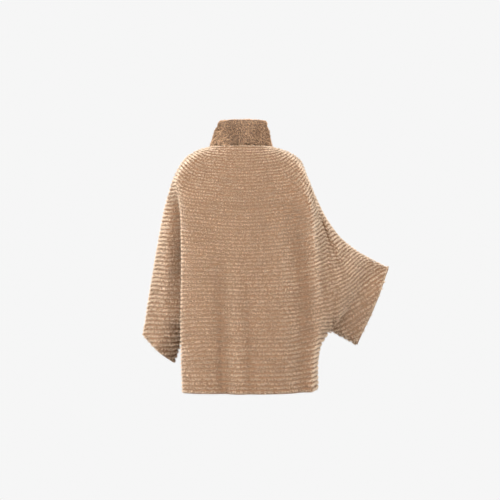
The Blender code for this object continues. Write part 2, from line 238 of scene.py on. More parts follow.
# %% Side lines, overarms and cuffs
SIDE_COLUMNS = ("level", "ridge_x", "ridge_y", "ridge_z", "arm_x", "arm_y", "arm_z", "slot")
SIDES = {
    "left": np.array((
        (0, -72, -54, 2, -85, 0, 2, 32),
        (30, -93, -67, -18, -110, 0, -12, 45),
        (60, -113, -75, -42, -135, 0, -28, 56),
        (100, -140, -80, -76, -163, 0, -57, 66),
        (150, -169, -83, -118, -190, 3, -101, 72),
        (200, -179, -92, -168, -188, 8, -152, 68),
        (250, -177, -101, -220, -174, 12, -208, 63),
        (320, -176, -107, -292, -164, 15, -282, 66),
        (450, -176, -110, -430, -161, 20, -425, 70),
        (567, -177, -110, -549, -164, 20, -550, 66),
        (650, -175, -108, -631, -168, 20, -632, 60),
        (750, -171, -103, -728, -167, 20, -728, 55),
    )) / 1000,
    "right": np.array((
        (0, 72, -54, 2, 85, 0, 2, 32),
        (30, 94, -67, -18, 111, 0, -12, 45),
        (60, 116, -76, -42, 138, 0, -28, 56),
        (100, 146, -84, -76, 171, 0, -56, 66),
        (150, 186, -88, -120, 198, 0, -101, 72),
        (200, 206, -98, -170, 219, 5, -150, 64),
        (250, 213, -108, -222, 234, 10, -202, 54),
        (320, 218, -113, -294, 252, 13, -275, 68),
        (400, 223, -114, -376, 264, 10, -362, 85),
        (480, 226, -113, -459, 270, 8, -448, 93),
        (567, 225, -110, -549, 268, 10, -553.5, 92),
        (610, 217, -108, -592, 244, 14, -594, 88),
        (650, 212, -106, -631, 236, 18, -632, 85),
        (750, 207, -100, -728, 234, 20, -728, 85),
    )) / 1000,
}

OVERARM_COLUMNS = ("level", "x", "y", "z")
OVERARMS = {
    "left": np.array((
        (0, -93, 0, 2),
        (30, -122, 0, -5),
        (60, -150, 0, -18),
        (100, -177, 0, -42),
        (150, -207, 3, -98),
        (200, -226, 10, -158),
        (320, -254, 25, -296),
        (450, -280, 40, -444),
        (555, -301, 50, -567),
    )) / 1000,
    "right": np.array((
        (0, 93, 0, 2),
        (30, 122, 0, -5),
        (60, 151, 0, -17),
        (100, 179, 0, -38),
        (150, 201, 3, -89),
        (200, 226, 10, -148),
        (260, 257, 26, -210.5),
        (320, 298.5, 45, -267),
        (385, 347, 66, -307),
        (450, 404, 85, -338.5),
        (493, 454, 100, -361),
    )) / 1000,
}
CUFF_COLUMNS = (
    "upper", "lower", "corner", "bulge_back", "bulge_front", "sag", "rows_lower", "rows_upper")
CUFFS = {
    side: dict(zip(CUFF_COLUMNS, values))
    for side, values in (
        ("left", (0.555, 0.650, (-0.200, 0.045, -0.652), 0.055, 0.050, 0.004, 0.648, 0.551)),
        ("right", (0.493, 0.611, (0.350, 0.050, -0.600), 0.045, 0.045, 0.012, 0.665, 0.493)),
    )
}
print("cuffs end at levels", {side: (cuff["upper"], cuff["lower"]) for side, cuff in CUFFS.items()})

# %% Folds
# Each fold runs from one place on a panel to another. A depth below 0 raises the cloth.
FOLDS = (
    # panel, from across, from level, to across, to level, depth, half width
    ("back", 0.725, 0.12, 0.785, 0.75, 0.024, 0.05),
    ("back", 0.368, 0.3, 0.376, 0.75, 0.014, 0.032),
    ("back", 0.5, 0.38, 0.51, 0.75, 0.009, 0.022),
    ("back", 0.44, 0.2, 0.44, 0.75, -0.004, 0.03),
    ("back", 0.155, 0.18, 0.12, 0.75, -0.005, 0.03),
    ("back", 0.835, 0.02, 0.825, 0.58, -0.01, 0.03),
    ("back", 0.275, 0.2, 0.26, 0.75, -0.004, 0.035),
    ("back", 1.22, 0.24, 1.64, 0.5, 0.011, 0.15),
    ("back", 1.35, 0.3, 1.45, 0.6, 0.006, 0.12),
    ("back", -0.45, 0.2, -0.35, 0.6, 0.006, 0.12),
    ("front", 0.3, 0.22, 0.26, 0.75, 0.014, 0.04),
    ("front", 0.48, 0.32, 0.5, 0.75, 0.009, 0.03),
    ("front", 0.7, 0.16, 0.76, 0.75, 0.016, 0.04),
    ("front", 1.4, 0.3, 1.5, 0.6, 0.01, 0.12),
)
print("folds:", len(FOLDS))

# %% [markdown]
# ## From the tables to points
# A smooth curve goes through each column of a table, and another one goes across the cloth through
# the few stations that the tables give. Numpy reads thousands of places in one call.

# %% Curves through tables and stations


def hermite(start, end, leaving, arriving, t):
    rise = t * t * (3 - 2 * t)
    return start + (end - start) * rise + leaving * (t * (1 - t) ** 2) - arriving * (t * t * (1 - t))


def ease(t):
    t = np.clip(t, 0, 1)
    return t * t * (3 - 2 * t)


def unit(vectors):
    return vectors / np.maximum(np.linalg.norm(vectors, axis=-1, keepdims=True), 1e-9)


def read(table, columns, name, at):
    """A smooth curve through a table's values of one name, read at the levels `at`."""
    known = table[:, 0]
    values = table[:, columns.index(name)]
    steps = np.diff(known)
    slopes = np.diff(values) / steps
    tangents = np.empty(len(known))
    tangents[0] = slopes[0]
    tangents[-1] = slopes[-1]
    tangents[1:-1] = (slopes[:-1] * steps[1:] + slopes[1:] * steps[:-1]) / (steps[:-1] + steps[1:])
    i = np.clip(np.searchsorted(known, at) - 1, 0, len(steps) - 1)
    t = (at - known[i]) / steps[i]
    return hermite(values[i], values[i + 1], tangents[i] * steps[i], tangents[i + 1] * steps[i], t)


def read_points(table, columns, name, at):
    """The x, y and z columns of one name, read as points of shape (places, 3)."""
    return np.stack([read(table, columns, name + axis, at) for axis in "xyz"], axis=1)


def through(stations, start, end, t):
    """A smooth curve through stations of shape (places, stations, 3), evenly spaced in t."""
    steps = np.linalg.norm(np.diff(stations, axis=1), axis=2)[:, :, None]
    slopes = np.diff(stations, axis=1) / steps
    before, after = steps[:, :-1], steps[:, 1:]
    directions = np.empty_like(stations)
    directions[:, 1:-1] = (slopes[:, :-1] * after + slopes[:, 1:] * before) / (before + after)
    points = stations.copy()
    points[:, 0], directions[:, 0] = start
    points[:, -1], directions[:, -1] = end
    place = np.clip(t, 0, 1) * steps.shape[1]
    i = np.minimum(place.astype(int), steps.shape[1] - 1)
    n = np.arange(len(i))
    length = steps[n, i]
    leaving = directions[n, i] * length
    arriving = directions[n, i + 1] * length
    return hermite(points[n, i], points[n, i + 1], leaving, arriving, (place - i)[:, None])


half_way = np.array([HEM / 2])
print("half-way down, the centre back lies at y", read(BODY, BODY_COLUMNS, "back", half_way).round(4))

# %% Stations of the body and the sleeves


def lines(side, level):
    """The back's ridge line, the middle of the arm lines, how far each lies from it, and the rest of
    that distance once the opening closes towards the underarm."""
    table = SIDES[side]
    closing = np.clip((level - ROUND_FROM[side]) / (UNDERARM - ROUND_FROM[side]), 0, 1)
    ridge = read_points(table, SIDE_COLUMNS, "ridge_", level)
    arm = read_points(table, SIDE_COLUMNS, "arm_", level)
    slot = np.zeros_like(arm)
    slot[:, 1] = read(table, SIDE_COLUMNS, "slot", level)
    return ridge, arm, slot, slot * np.sqrt(1 - closing**2)[:, None]


def body_stations(panel, level):
    """Seven points across the body: arm line, ridge, quarter, centre, quarter, ridge, arm line."""
    height = NECK_HEIGHT - DROP * level
    depth = read(BODY, BODY_COLUMNS, panel, level)
    centre = np.stack([read(BODY, BODY_COLUMNS, "centre_x", level), depth, height], axis=1)
    sign = -1 if panel == "back" else 1
    stations = np.empty((len(level), 7, 3))
    stations[:, 3] = centre
    for side, end, step in (("left", 0, 1), ("right", 6, -1)):
        ridge, arm, slot = lines(side, level)[:3]
        if panel == "front":
            ridge[:, 0] *= FRONT_RIDGE_WIDTH
            ridge[:, 1] = depth * FRONT_RIDGE_DEPTH
        quarter = centre + (ridge - centre) * QUARTER
        quarter[:, 0] = (centre[:, 0] + ridge[:, 0]) / 2
        stations[:, end] = arm + sign * slot
        stations[:, end + step] = ridge
        stations[:, end + 2 * step] = quarter
    return stations


def slanted(level, lower, upper):
    """Levels scaled from the shoulder on, so that `lower` becomes `upper`."""
    scale = (upper - SHOULDER) / (lower - SHOULDER)
    return np.where(level > SHOULDER, SHOULDER + (level - SHOULDER) * scale, level)


def sleeve_stations(side, level):
    """Five points round a sleeve, and the line midway between the arm lines, which goes on as the
    underarm seam."""
    cuff = CUFFS[side]
    arm, slot = lines(side, np.minimum(level, UNDERARM))[1:3]
    below = np.clip((level - UNDERARM) / (cuff["lower"] - UNDERARM), 0, 1)[:, None]
    arm = arm + (np.array(cuff["corner"]) - arm) * below
    slot = slot * (1 - below)
    overarm = slanted(level, cuff["lower"], cuff["upper"])
    over = read_points(OVERARMS[side], OVERARM_COLUMNS, "", overarm)
    grown = ease((level - BULGE_FROM) / BULGE_RUN)
    left_of_slot = 1 - ease((level - ROUND_FROM[side]) / (cuff["lower"] - ROUND_FROM[side]))
    stations = np.empty((len(level), 5, 3))
    stations[:, 0] = arm - slot
    stations[:, 4] = arm + slot
    stations[:, 2] = over
    for panel, beside, sign in (("back", 1, -1), ("front", 3, 1)):
        edge = arm + sign * slot * left_of_slot[:, None]
        stations[:, beside] = edge * BESIDE + over * (1 - BESIDE)
        stations[:, beside, 1] += sign * cuff["bulge_" + panel] * grown
        stations[:, beside, 2] -= cuff["sag"] * grown
    return stations, arm


# %% The form of a panel


def arm_tangents(side, panel, body, sleeve, level):
    """How the cloth crosses the arm line: straight on, but inwards at the underarm."""
    ridge = body[:, 1] if side == "left" else body[:, 5]
    beside = sleeve[:, 1] if panel == "back" else sleeve[:, 3]
    outwards = unit(beside - ridge)
    inwards = np.array([0.0, TURN if panel == "back" else -TURN, 0.0])
    turned = ease((level - ROUND_FROM[side]) / (UNDERARM - ROUND_FROM[side]))[:, None]
    return outwards * (1 - turned) + inwards * turned, outwards * (1 - turned) - inwards * turned


def fold_depth(panel, across, level):
    """How far the folds push the cloth in at each place."""
    pushed = np.zeros(len(level))
    for name, from_across, from_level, to_across, to_level, depth, half_width in FOLDS:
        if name != panel:
            continue
        along = (level - from_level) / (to_level - from_level)
        middle = from_across + (to_across - from_across) * along
        grown = ease(along / FOLD_START)
        if to_level < HEM:
            grown = grown * ease((1 - along) / FOLD_END)
        pushed += depth * grown * np.exp(-(((across - middle) / half_width) ** 2))
    from_edge = np.minimum.reduce([np.abs(across), np.abs(across - 1), across + 1, 2 - across])
    return pushed * ease(from_edge / FOLD_EDGE)


def form(panel, part, across, level):
    """The outside of a panel at places given by two arrays, as points of shape (places, 3)."""
    body = body_stations(panel, level)
    sign = -1 if panel == "back" else 1
    ends = []
    for side in ("left", "right"):
        sleeve, underarm = sleeve_stations(side, level)
        if panel == "front":
            sleeve = sleeve[:, ::-1]
        closed = lines(side, np.minimum(level, UNDERARM))[3]
        arm = sign * closed + (underarm if part == side else lines(side, level)[1])
        to_body, to_sleeve = arm_tangents(side, panel, body, sleeve, level)
        if part == side:
            out = -across if side == "left" else across - 1
            points = through(sleeve, (arm, to_sleeve), (sleeve[:, -1], 0.0), out / 2)
        ends.append((arm, to_body))
    if part == "body":
        left, right = ends
        points = through(body, (left[0], -left[1]), right, across)
    points[:, 1] -= sign * fold_depth(panel, across, level)
    return points


print("centre back at the hem:", form("back", "body", np.array([0.5]), np.array([HEM])).round(3))

# %% [markdown]
# ## The knitted ground
# The fur strips are knitted into a thin net, and that net is what the tufts stand on. Here it is one
# grid for each stretch of cloth, laid on the form, with the stretches of one panel merged into one
# sheet. Each row of knitting swells between two narrow grooves. The grid is then drawn in below the
# solid's surface, because the solids reach to the tips of the fur.

# %% Rows of knitting
ROWS = 69
GROWTH = 0.40  # the rows grow taller towards the hem, by this much as a logarithm
CREST_DEPTH = 0.0048  # the ground's crests below the tips of the fur
GROOVE_DEPTH = 0.0066  # and its grooves
SWELL_POWER = 0.7  # below 1, the grooves are narrower than the crests
NET = 0.0014  # thickness of the ground
ROW_CUTS = 4  # grid lines to each row
CLIMB_FROM = 0.31  # share of the panel beside each sleeve where the rows begin to climb
CLIMB_WIDTH = 0.20  # share of the panel in which they climb
CLIMBS = {
    # level, how much higher the rows lie at the arm line than at the centre
    "left": np.array((
        (0, 0), (100, 0), (200, -3), (300, -8), (400, -10), (600, -12),
        (750, 0),
    )) / 1000,
    "right": np.array((
        (0, 0), (80, 0), (150, 9), (300, 9), (450, 10), (500, 14),
        (567, 25), (610, 17), (700, 7), (750, 0),
    )) / 1000,
}
ROW_BOW = 0.25  # how much later than evenly the rows fan out on a sleeve
BODY_CUTS = 44  # grid lines across the body
SLEEVE_CUTS = 17  # and across each half of a sleeve
HALVINGS = 24  # steps of the search for a row's level
MERGE = 0.00001  # points closer than this become one
PANELS = ("back", "front")


def row_level(row):
    """The level of a row at the centre."""
    return HEM * (np.exp(GROWTH * row / ROWS) - 1) / (math.exp(GROWTH) - 1)


def row_at(level):
    """The row at a level of the centre."""
    return ROWS / GROWTH * np.log(1 + level / HEM * (math.exp(GROWTH) - 1))


def climb(side, level):
    """How much higher the rows lie at the arm line than at the centre."""
    return np.interp(level, *CLIMBS[side].T)


def fanned(out):
    """How far a row has fanned out, from 0 at the arm line to 1 at the overarm."""
    return out - ROW_BOW * out * (1 - out)


def centre_level(part, across, level):
    """The level at which the row of a place crosses the centre."""
    if part == "body":
        left = ease((CLIMB_FROM - across) / CLIMB_WIDTH)
        right = ease((across - 1 + CLIMB_FROM) / CLIMB_WIDTH)
        return level + climb("left", level) * left + climb("right", level) * right
    cuff = CUFFS[part]
    share = fanned(-across if part == "left" else across - 1)
    corner = UNDERARM + climb(part, UNDERARM)
    seam = (cuff["rows_lower"] - corner) / (cuff["lower"] - UNDERARM)
    inner = np.where(level > UNDERARM, corner + (level - UNDERARM) * seam, level + climb(part, level))
    outer = slanted(level, cuff["lower"], cuff["rows_upper"])
    return inner * (1 - share) + outer * share


def level_of(part, across, centre):
    """The level of a row at a place, found by halving: the other way round from centre_level."""
    low = np.zeros_like(centre)
    high = np.full_like(centre, HEM if part == "body" else CUFFS[part]["lower"])
    for _ in range(HALVINGS):
        middle = (low + high) / 2
        above = centre_level(part, across, middle) < centre
        low, high = np.where(above, middle, low), np.where(above, high, middle)
    return (low + high) / 2


def across_at(part, share):
    """ACROSS at a share of the way from the arm line, or from the left one to the right one."""
    return {"left": -share, "body": share, "right": 1 + share}[part]


def stretch(ground, panel, part, first, last, columns, rows, facts):
    """Lays one grid on a stretch of a panel and notes each new point's row."""
    made = bmesh.ops.create_grid(ground, x_segments=columns, y_segments=rows, size=1)
    corners = np.array([vertex.co for vertex in made["verts"]])
    across = across_at(part, (corners[:, 0] + 1) / 2)
    level = row_level(row_at(first) + (row_at(last) - row_at(first)) * (1 - corners[:, 1]) / 2)
    rows_there = row_at(centre_level(part, across, level))
    for vertex, point, row in zip(made["verts"], form(panel, part, across, level), rows_there):
        vertex.co = point
        vertex[facts["row"]] = row
    for face in {face for vertex in made["verts"] for face in vertex.link_faces}:
        face[facts["panel"]] = PANELS.index(panel)


ground = bmesh.new()
facts = {
    "row": ground.verts.layers.float.new("row"),
    "panel": ground.faces.layers.int.new("panel"),
}
upper_rows = round(row_at(UNDERARM) * ROW_CUTS)
for panel in PANELS:
    stretch(ground, panel, "body", 0, UNDERARM, BODY_CUTS, upper_rows, facts)
    stretch(ground, panel, "body", UNDERARM, HEM, BODY_CUTS, ROWS * ROW_CUTS - upper_rows, facts)
    for side in ("left", "right"):
        stretch(ground, panel, side, 0, UNDERARM, SLEEVE_CUTS, upper_rows, facts)
        cuff_rows = round(row_at(CUFFS[side]["rows_lower"]) * ROW_CUTS) - upper_rows
        stretch(ground, panel, side, UNDERARM, CUFFS[side]["lower"], SLEEVE_CUTS, cuff_rows, facts)
bmesh.ops.remove_doubles(ground, verts=ground.verts, dist=MERGE)
print("ground:", len(ground.verts), "points,", len(ground.faces), "faces")

# %% Draw the ground in and raise its rows


def draw_in(shape, depth_at):
    """Turns a shape's faces outwards, and moves each point inwards by its own depth."""
    bmesh.ops.recalc_face_normals(shape, faces=shape.faces)
    shape.normal_update()
    outermost = min(shape.verts, key=lambda vertex: vertex.co.y)
    if outermost.normal.y > 0:
        bmesh.ops.reverse_faces(shape, faces=shape.faces)
        shape.normal_update()
    normals = [vertex.normal.copy() for vertex in shape.verts]
    for vertex, normal in zip(shape.verts, normals):
        vertex.co -= normal * depth_at(vertex)
    print("the outermost point at the back faces", [round(v, 2) for v in outermost.normal])


def ground_depth(vertex):
    swell = math.sin(math.pi * (vertex[facts["row"]] % 1)) ** SWELL_POWER
    return GROOVE_DEPTH + (CREST_DEPTH - GROOVE_DEPTH) * swell


draw_in(ground, ground_depth)

# %% [markdown]
# Back and front are cut apart again along the overarm and side seams, so that each is a sheet of its
# own, as the maker knits it. A Solidify modifier gives each its thickness on the inside.

# %% Cut the ground into back and front
TAN_NET = (0.20, 0.105, 0.053, 1)
BROWN_NET = (0.105, 0.062, 0.036, 1)
NET_ROUGHNESS = 0.95
GRAIN = {"Scale": 420.0, "Detail": 3.0}
GRAIN_TONES = ((0.3, 0.7), (0.7, 1.35))  # noise, brightness of the yarn there
GRAIN_RELIEF = {"Strength": 0.6, "Distance": 0.001}


def net_material(name, colour):
    """The ground's yarn: darker than the fur, with a fine grain."""
    made, tree, shader = material(name)
    shader.inputs["Roughness"].default_value = NET_ROUGHNESS
    place = node(tree, "TexCoord")
    grain = node(tree, "TexNoise", **GRAIN)
    ramp = node(tree, "ValToRGB")
    for element, (noise, tone) in zip(ramp.color_ramp.elements, GRAIN_TONES):
        element.position = noise
        element.color = (*(c * tone for c in colour[:3]), 1)
    bump = node(tree, "Bump", **GRAIN_RELIEF)
    link(
        tree,
        (place, "Object", grain, "Vector"),
        (grain, "Fac", ramp, "Fac"),
        (ramp, "Color", shader, "Base Color"),
        (grain, "Fac", bump, "Height"),
        (bump, "Normal", shader, "Normal"),
    )
    return made


tan_net = net_material("tan_net", TAN_NET)
brown_net = net_material("brown_net", BROWN_NET)
knits = {}
for number, panel in enumerate(PANELS):
    half = ground.copy()
    layer = half.faces.layers.int["panel"]
    others = [face for face in half.faces if face[layer] != number]
    bmesh.ops.delete(half, geom=others, context="FACES")
    knits[panel] = add_mesh(panel + "_knit", half, tan_net)
    wall = knits[panel].modifiers.new("thickness", "SOLIDIFY")
    wall.thickness = NET
    wall.offset = -1
    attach(knits[panel], "root")
    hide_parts(panel)
ground.free()
print("sheets:", {panel: len(knit.data.polygons) for panel, knit in knits.items()})

# %% [markdown]
# ## Where the tufts stand
# Each row of knitting is read as a line across its stretch of cloth, with the lines between rows too.
# Points on one line are the same length of cloth apart. At each of them the script works out three
# directions: along the row, down the cloth and out of it.

# %% Lines along the rows
ROW_STEPS = 64  # points along each line, less one
SHARES = np.linspace(0, 1, ROW_STEPS + 1)
FAN_STEPS = 100  # steps in which the fan is turned the other way round
FEWEST = 0.02  # the shortest share of a row that still takes tufts
CUFF_LEVELS = np.array((0.0080, 0.0042, 0.0004))  # the cuff's own row, above its edge


def running(line):
    """The length of a line up to each of its points."""
    return np.append(0, np.cumsum(np.linalg.norm(np.diff(line, axis=0), axis=1)))


def evenly(chains):
    """Spaces the points of each line evenly. With them comes each line's length."""
    lengths = np.empty(len(chains))
    for i, chain in enumerate(chains):
        run = running(chain)
        lengths[i] = run[-1]
        chains[i] = np.stack([np.interp(SHARES * run[-1], run, values) for values in chain.T], axis=1)
    return chains, lengths


def lay(panel, part, across, level):
    """Points of the form at a grid of places."""
    return form(panel, part, across.ravel(), level.ravel()).reshape(across.shape + (3,))


def row_lines(panel, part):
    """The rows' edges and middles, evenly spaced, and their lengths."""
    cuff = CUFFS.get(part)
    last = row_at(cuff["rows_lower"]) if cuff else ROWS
    centre, share = np.meshgrid(row_level(np.arange(0, last, 0.5)), SHARES, indexing="ij")
    if cuff:
        reach = (cuff["rows_lower"] - centre) / (cuff["rows_lower"] - cuff["rows_upper"])
        places = np.linspace(0, 1, FAN_STEPS + 1)
        share = share * np.interp(np.clip(reach, FEWEST, 1), fanned(places), places)
    across = across_at(part, share)
    return evenly(lay(panel, part, across, level_of(part, across, centre)))


def cuff_lines(panel, part):
    """The edge and the middle of the row that runs round a cuff."""
    level, out = np.meshgrid(CUFFS[part]["lower"] - CUFF_LEVELS, SHARES, indexing="ij")
    return evenly(lay(panel, part, across_at(part, out), level))


def directions(points, panel, part):
    """Unit vectors along the row, down the cloth and out of it, and the rows' height."""
    along = unit(np.gradient(points, axis=1))
    down = np.gradient(points, axis=0)
    out = np.cross(down, along)
    if (panel == "front") != (part == "left"):
        out = -out
    down = down - along * (down * along).sum(axis=2, keepdims=True)
    return along, unit(down), unit(out), 2 * np.linalg.norm(down, axis=2)


PARTS = ("left", "body", "right")
stretches, ways = {}, {}
for panel in PANELS:
    for part in PARTS:
        stretches[panel, part] = row_lines(panel, part)
        points, lengths = stretches[panel, part]
        ways[panel, part] = directions(points, panel, part)
        print(panel, part, "rows", len(points) // 2, "longest", lengths.max().round(3), "m")
        if part in CUFFS:
            stretches[panel, part + "_cuff"] = cuff_lines(panel, part)
            ways[panel, part + "_cuff"] = directions(stretches[panel, part + "_cuff"][0], panel, part)
for panel in PANELS:
    lengths = [stretches[panel, part][1][1::2] for part in PARTS]

# %% [markdown]
# Where cloth is hollow, the pile is painted darker, as painted shade, and where it stands up in a
# ridge, the pile is painted lighter, as a painted highlight. So the script measures along each whole
# row, from cuff to cuff, how far a point lies below the cloth on either side of it.

# %% Hollows and ridges
HOLLOW_REACH = 0.035  # how far to either side the cloth is looked at


def hollows_of(panel):
    """How far each point of a panel's rows lies below the cloth on either side, for each part."""
    made = {part: np.zeros(stretches[panel, part][0].shape[:2]) for part in PARTS}
    for i in range(len(made["body"])):
        here = [part for part in PARTS if i < len(made[part])]
        turn = {part: -1 if part == "left" else 1 for part in here}
        chain = np.concatenate([stretches[panel, part][0][i][:: turn[part]] for part in here])
        outs = np.concatenate([ways[panel, part][2][i][:: turn[part]] for part in here])
        run = running(chain)
        beside = sum(
            np.stack([np.interp(run + way, run, chain[:, k]) for k in range(3)], axis=1)
            for way in (-HOLLOW_REACH, HOLLOW_REACH)
        ) / 2
        depth = ((beside - chain) * outs).sum(axis=1)
        for part, values in zip(here, np.split(depth, len(here))):
            made[part][i] = values[:: turn[part]]
    return made


hollows = {}
for panel in PANELS:
    for part, values in hollows_of(panel).items():
        hollows[panel, part] = values
        hollows[panel, part + "_cuff"] = np.zeros((len(CUFF_LEVELS), ROW_STEPS + 1))
        print(panel, part, "hollows from", values.min().round(4), "to", values.max().round(4), "m")

# %% [markdown]
# ## One lock, copied
# A tuft is sixteen small pointed locks. One lock is modelled as the slimmest closed shape
# there is, the hull of four points: a spine from root to tip, and an edge across its widest place.
# Arrays of places, directions and sizes then set thousands of copies of it, joined into one mesh.
# Each point keeps how far up its lock it is, and how light that lock is, for the material.

# %% The lock
WIDEST = 0.5  # of the way from root to tip
lock_shape = bmesh.new()
for point in ((0, 0.5, 0), (0, 0.5, 1), (-0.5, -0.5, WIDEST), (0.5, -0.5, WIDEST)):
    lock_shape.verts.new(point)
bmesh.ops.convex_hull(lock_shape, input=lock_shape.verts)
bmesh.ops.recalc_face_normals(lock_shape, faces=lock_shape.faces)
lock_shape.verts.index_update()
LOCK_POINTS = np.array([vertex.co for vertex in lock_shape.verts])
LOCK_FACES = np.array([[vertex.index for vertex in face.verts] for face in lock_shape.faces])
lock_shape.free()
print("one lock:", len(LOCK_POINTS), "points,", len(LOCK_FACES), "faces")

# %% Join copies of the lock
BAKE_CELLS = 32  # cells of the fur's UV map each way, one for each patch of cloth
BAKE_SIDE = 0.1  # in cells, from a lock's middle to its cell's side,
BAKE_END = 0.08  # from its tip or root to the cell's end
BAKE_WIDTH = 0.04  # and across it


def pile(name, finish, roots, tips, outs, widths, thicknesses, tones, cells):
    """Joins one lock for each root into a mesh, each with its spine outwards."""
    ways = tips - roots
    sides = unit(np.cross(ways, outs))
    thick = unit(np.cross(sides, ways))
    x, y, z = LOCK_POINTS.T
    points = (
        roots[:, None]
        + sides[:, None] * (x * widths[:, None])[:, :, None]
        + thick[:, None] * (y * thicknesses[:, None])[:, :, None]
        + ways[:, None] * z[None, :, None]
    )
    corners = LOCK_FACES[None] + np.arange(len(roots))[:, None, None] * len(LOCK_POINTS)
    data = bpy.data.meshes.new(name)
    data.vertices.add(points.size // 3)
    data.vertices.foreach_set("co", points.astype(np.float32).ravel())
    data.loops.add(corners.size)
    data.loops.foreach_set("vertex_index", corners.astype(np.int32).ravel())
    data.polygons.add(corners.size // 3)
    data.polygons.foreach_set("loop_start", np.arange(0, corners.size, 3, dtype=np.int32))
    data.update(calc_edges=True)
    heights = np.tile(z, len(roots))
    for label, values in (("up_the_lock", heights), ("tone", np.repeat(tones, len(x)))):
        layer = data.attributes.new(label, "FLOAT", "POINT")
        layer.data.foreach_set("value", values.astype(np.float32))
    column = np.random.default_rng(len(roots)).uniform(BAKE_SIDE, 1 - BAKE_SIDE, len(roots))
    flat = np.empty((len(roots), len(x), 2))
    flat[:, :, 0] = (cells[:, :1] + column[:, None] + x * BAKE_WIDTH) / BAKE_CELLS
    flat[:, :, 1] = (cells[:, 1:] + BAKE_END + z * (1 - 2 * BAKE_END)) / BAKE_CELLS
    bake = data.uv_layers.new(name="OFBake")
    bake.data.foreach_set("uv", flat.reshape(-1, 2)[corners.ravel()].astype(np.float32).ravel())
    data.materials.append(finish)
    data.shade_smooth()
    made = show(name, data)
    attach(made, "root")
    return made


# %% [markdown]
# ## The fur's colour
# Fur is darker and browner near its root and pale at its tip. The lock's two attributes drive the
# colour, and a broad noise makes patches of the coat a little lighter or darker. A soft sheen gives
# the light rim that fur has where it turns away.

# %% Fur material
FURS = {
    # name: root, middle, tip, sheen
    "tan_fur": ((0.40, 0.22, 0.11, 1), (0.79, 0.56, 0.375, 1), (0.89, 0.75, 0.60, 1), 0.05),
    "brown_fur": ((0.31, 0.165, 0.083, 1), (0.59, 0.345, 0.195, 1), (0.69, 0.465, 0.295, 1), 0.04),
}
MIDDLE_AT = 0.45  # how far up a lock its middle colour is
TIPS_SHOWN = 0.9  # how far a tone off 1 moves the colour up or down the lock
PATCHES = {"Scale": 14.0, "Detail": 2.0}
PATCH_TONES = {"From_Min": 0.3, "From_Max": 0.7, "To_Min": 0.94, "To_Max": 1.06}
SOFT = {
    "Roughness": 0.75,
    "Specular IOR Level": 0.25,
    "Sheen Roughness": 0.4,
    "Sheen Tint": (1.0, 0.96, 0.9, 1),
}


def fur_material(name, root, middle, tip, sheen):
    made, tree, shader = material(name)
    for socket, value in SOFT.items():
        shader.inputs[socket].default_value = value
    shader.inputs["Sheen Weight"].default_value = sheen
    height = node(tree, "Attribute", attribute_name="up_the_lock")
    tone = node(tree, "Attribute", attribute_name="tone")
    opened = node(tree, "Math", operation="MULTIPLY_ADD")
    opened.inputs[1].default_value = TIPS_SHOWN
    opened.inputs[2].default_value = -TIPS_SHOWN
    shown = node(tree, "Math", operation="ADD")
    ramp = node(tree, "ValToRGB")
    elements = ramp.color_ramp.elements
    elements[0].color = root
    elements[1].color = tip
    elements.new(MIDDLE_AT).color = middle
    place = node(tree, "TexCoord")
    patches = node(tree, "TexNoise", **PATCHES)
    spread = node(tree, "MapRange", **PATCH_TONES)
    strength = node(tree, "Math", operation="MULTIPLY")
    shade = node(tree, "VectorMath", operation="SCALE")
    link(
        tree,
        (tone, "Fac", opened, 0),
        (height, "Fac", shown, 0),
        (opened, "Value", shown, 1),
        (shown, "Value", ramp, "Fac"),
        (place, "Object", patches, "Vector"),
        (patches, "Fac", spread, "Value"),
        (spread, "Result", strength, 0),
        (tone, "Fac", strength, 1),
        (ramp, "Color", shade, 0),
        (strength, "Value", shade, "Scale"),
        (shade, "Vector", shader, "Base Color"),
    )
    return made


tan_fur, brown_fur = (fur_material(name, *values) for name, values in FURS.items())
print("fur materials:", tan_fur.name, brown_fur.name)

# %% [markdown]
# ## The tufts
# Along each row stands one tuft for each stitch. Its locks spread from the middle into a low dome,
# longer than it is wide, so that grooves stay open between the rows and small dark pits between the
# stitches. The nap draws every tip down, and each tuft leans a little to one side in its own way.

# %% Sizes of the tufts
STITCH = 0.0092  # length of row for one tuft
CUFF_MARGIN = 0.1  # in stitches, between the last tuft of a row and the cuff's edge
LOCKS = 16  # in a tuft
DOME_ALONG = 0.76  # half the tuft's length at its tips, in stitches
DOME_DOWN = 0.51  # and half its height, in rows
DOME_HEIGHT = 0.0056  # from the roots to the highest tips
DOME_FALL = 0.56  # how much lower the outermost tips are
DOME_POWER = 3  # the higher it is, the flatter the dome's top
TALLEST_ROW = 0.017  # no tuft is made for a taller row than this
ROW_MIDDLE = 0.8  # the middle of the tufts, below a row's upper edge in half rows
ROOT_SPREAD = 0.45  # the roots' place in the tuft against the tips'
NAP = 0.0020  # how far the tips hang below their roots
SWAY = 0.0009  # how far tips stray along the row
ROOT_DEPTH = 0.0054  # the roots below the solid's surface
GUARD_HAIRS = 0.12  # share of the locks that are longer, thinner guard hairs
GUARD_RISE = 0.0018  # how much farther those stand out
GUARD_SWAY = 0.0022  # how far their tips stray
GUARD_WIDTH = 0.5  # their width against the other locks
GUARD_NAP = 2  # and how far they hang
LOCK_WIDTH = 0.0021
LOCK_THICKNESS = 0.0008
HOLLOW_PAINTED_SHADE = 11.0  # painted shade: how much darker a hollow is painted for each metre of its depth
FLAT_DEPTH = -0.0025  # the depth that counts as flat, because the whole back is round
PAINTED_FOLD_LIMITS = (0.84, 1.25) # the darkest painted shade of hollows and the lightest painted highlight of ridges
GROOVE_SHADE = 0.36  # painted shade: how much darker a tuft is painted along the grooves, where no light gets in
PIT_SHADE = 0.32  # and beside the next stitch, as painted shade in the pits
GROOVE_POWER = 2  # the higher it is, the narrower that dark line
PIT_POWER = 4  # and that pit
LEFT_PAINTED_LIGHT = 1.05  # painted light: the left sleeve is painted a little paler than the rest, to lighten its shaded inner side
CUFF_PAINTED_SHADE = 0.86  # painted shade: the cuffs' edge rows are painted a little browner, for the shadow at the cuff's edge
